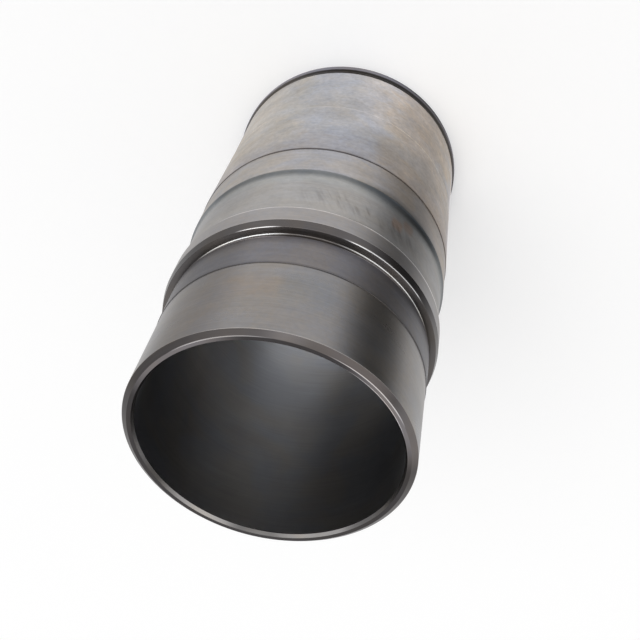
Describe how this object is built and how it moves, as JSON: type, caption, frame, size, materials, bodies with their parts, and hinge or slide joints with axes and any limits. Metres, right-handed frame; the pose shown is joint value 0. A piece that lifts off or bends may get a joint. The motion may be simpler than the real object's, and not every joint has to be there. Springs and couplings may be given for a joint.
{
  "type": "cylinder liner",
  "caption": "Wet cylinder liner for a large diesel engine: cast iron sleeve with a collar seat, a waist, a water jacket wall and a honed bore.",
  "frame": {"origin": "centre of the deck face, the end that meets the cylinder head and that the liner stands on", "axes": "+Z along the bore, from the deck face to the skirt end; +X and +Y are radial and alike"},
  "size_m": [0.1522, 0.1522, 0.2716],
  "materials": {
    "cast_iron": "satin"
  },
  "bodies": {
    "root": {"cylinder_liner": "cast_iron"}
  },
  "joints": []
}
